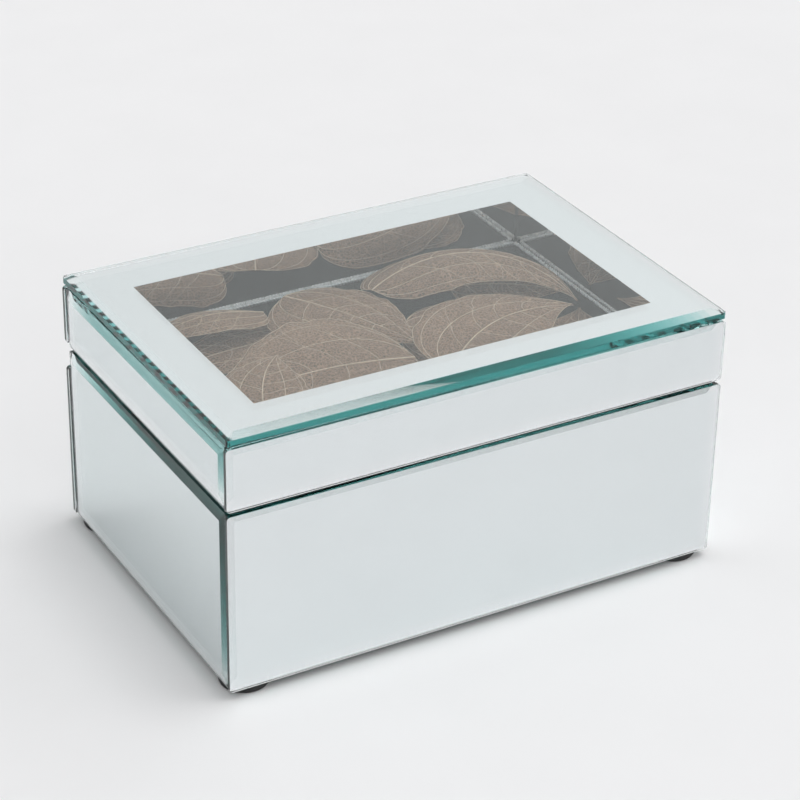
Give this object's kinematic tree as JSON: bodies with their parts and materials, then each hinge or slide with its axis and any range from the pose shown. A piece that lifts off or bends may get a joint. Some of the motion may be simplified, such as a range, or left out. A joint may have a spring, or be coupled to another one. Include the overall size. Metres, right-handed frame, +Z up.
{
  "type": "mirrored trinket box",
  "caption": "Rectangular box clad in bevelled mirror glass, with a hinged lid whose clear window shows dried skeleton leaves in a mirrored tray.",
  "frame": {"origin": "on the surface that the box stands on, under the middle of its footprint", "axes": "+X to the right along the front, +Y from the front to the hinged back, +Z up"},
  "size_m": [0.24, 0.165, 0.125],
  "materials": {
    "mirror_glass": "bevelled second-surface mirror glass with a faint green cast, polished edges",
    "tray_mirror": "plain second-surface mirror strip",
    "clear_glass": "clear float glass, green at its polished edges",
    "silvering": "silvered and painted film",
    "board": "medium density fibreboard, painted grey where it shows",
    "velvet": "short-pile velvet",
    "felt": "matt black felt",
    "tray_card": "smooth dark grey card",
    "silver_braid": "silver-white twisted braid",
    "dry_leaf": "bleached skeleton leaf with a fine open vein mesh",
    "foot_rubber": "matt black rubber",
    "hinge_steel": "nickel-plated steel",
    "screw_steel": "bright plated steel"
  },
  "bodies": {
    "base": {"back_wall_lining": "velvet", "base_back_board": "board", "base_back_mirror": "mirror_glass", "base_floor_board": "board", "base_front_board": "board", "base_front_mirror": "mirror_glass", "base_left_board": "board", "base_left_mirror": "mirror_glass", "base_right_board": "board", "base_right_mirror": "mirror_glass", "floor_pad": "velvet", "foot_back_left": "foot_rubber", "foot_back_right": "foot_rubber", "foot_front_left": "foot_rubber", "foot_front_right": "foot_rubber", "front_wall_lining": "velvet", "left_hinge_base_plate": "hinge_steel", "left_hinge_base_screw_1": "screw_steel", "left_hinge_base_screw_2": "screw_steel", "left_hinge_pin": "hinge_steel", "left_wall_lining": "velvet", "right_hinge_base_plate": "hinge_steel", "right_hinge_base_screw_1": "screw_steel", "right_hinge_base_screw_2": "screw_steel", "right_hinge_pin": "hinge_steel", "right_wall_lining": "velvet", "underside_felt": "felt"},
    "lid": {"border_silvering": "silvering", "left_hinge_lid_plate": "hinge_steel", "left_hinge_lid_screw_1": "screw_steel", "left_hinge_lid_screw_2": "screw_steel", "lid_back_mirror": "mirror_glass", "lid_back_rail": "board", "lid_front_mirror": "mirror_glass", "lid_front_rail": "board", "lid_left_mirror": "mirror_glass", "lid_left_rail": "board", "lid_right_mirror": "mirror_glass", "lid_right_rail": "board", "lid_top_glass": "clear_glass", "lid_underside_lining": "velvet", "right_hinge_lid_plate": "hinge_steel", "right_hinge_lid_screw_1": "screw_steel", "right_hinge_lid_screw_2": "screw_steel", "skeleton_leaf_1": "dry_leaf", "skeleton_leaf_10": "dry_leaf", "skeleton_leaf_2": "dry_leaf", "skeleton_leaf_3": "dry_leaf", "skeleton_leaf_4": "dry_leaf", "skeleton_leaf_5": "dry_leaf", "skeleton_leaf_6": "dry_leaf", "skeleton_leaf_7": "dry_leaf", "skeleton_leaf_8": "dry_leaf", "skeleton_leaf_9": "dry_leaf", "tray_back_mirror": "tray_mirror", "tray_floor": "tray_card", "tray_front_mirror": "tray_mirror", "tray_left_mirror": "tray_mirror", "tray_right_mirror": "tray_mirror", "tray_seam_braid": "silver_braid"}
  },
  "joints": [
    {"name": "lid_hinge", "type": "hinge", "parent": "base", "child": "lid", "pos_m": [0, 0.0809, 0.089], "axis": [-1, 0, 0], "range_deg": [0, 100]}
  ]
}
